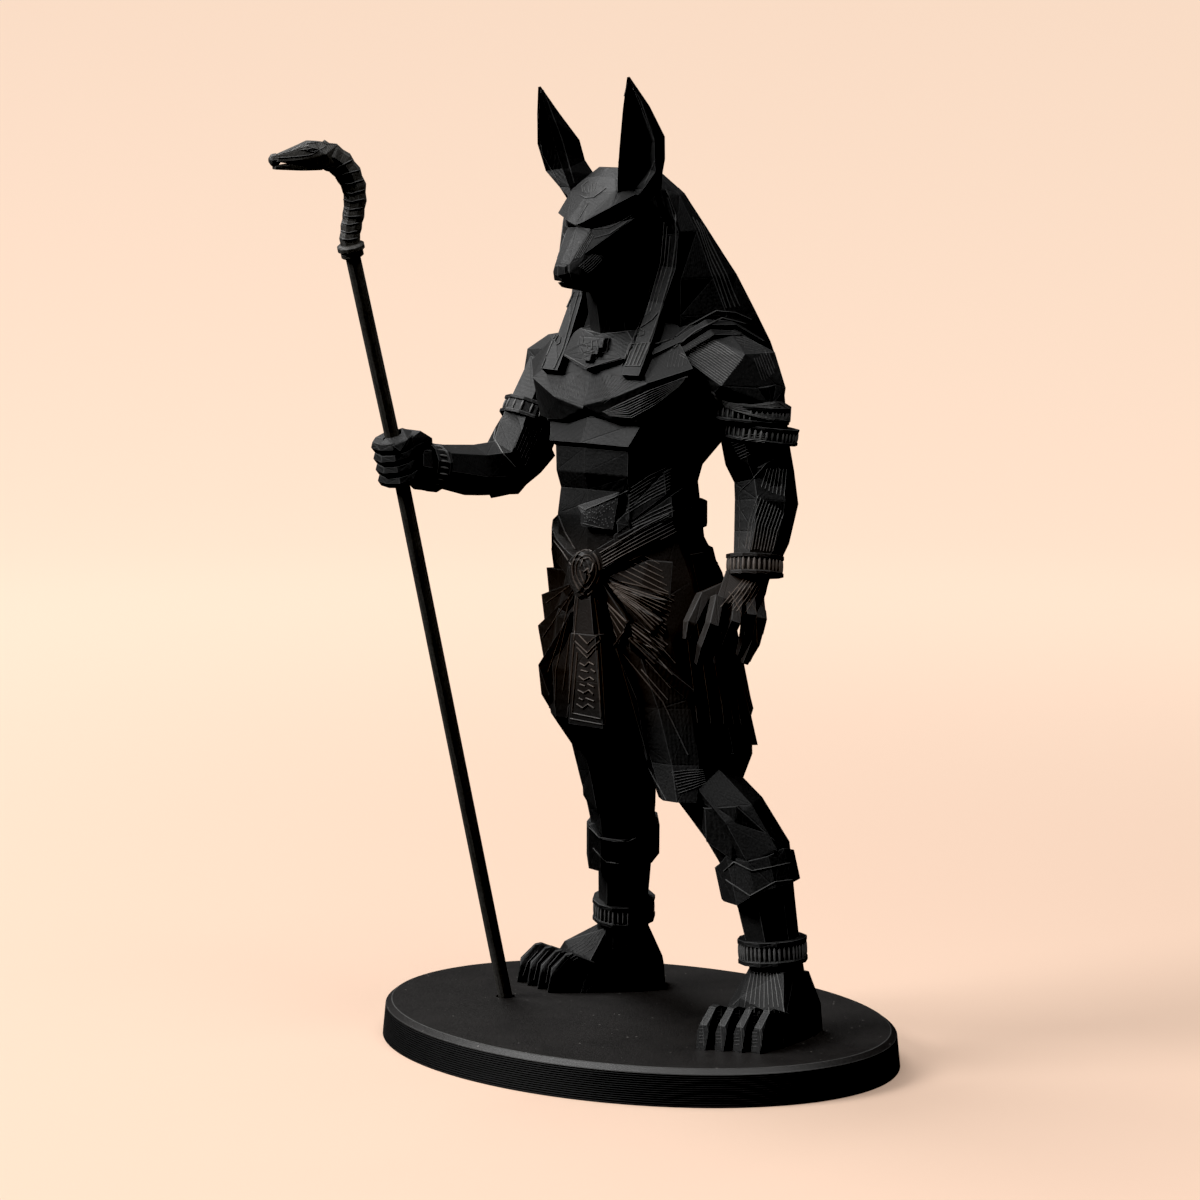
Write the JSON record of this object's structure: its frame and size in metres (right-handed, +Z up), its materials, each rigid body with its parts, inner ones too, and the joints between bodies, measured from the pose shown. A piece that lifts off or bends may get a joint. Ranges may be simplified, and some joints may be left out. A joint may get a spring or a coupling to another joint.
{
  "type": "jackal-headed statuette",
  "caption": "Faceted jackal-headed standing figurine on an oval plinth, holding a leaning serpent-headed staff in its right fist.",
  "frame": {"origin": "centre of the plinth's underside", "axes": "+Z up, the figure faces -Y, its left side is +X, the plinth's long axis is X"},
  "size_m": [0.089, 0.0874, 0.1513],
  "materials": {
    "base_black": "black printed plastic, faint layer lines, dusty top",
    "figure_black": "black printed plastic, fine contour lines, slightly satin",
    "staff_black": "black printed plastic, slightly satin"
  },
  "bodies": {
    "root": {"base": "base_black", "figure": "figure_black", "staff": "staff_black"}
  },
  "joints": []
}
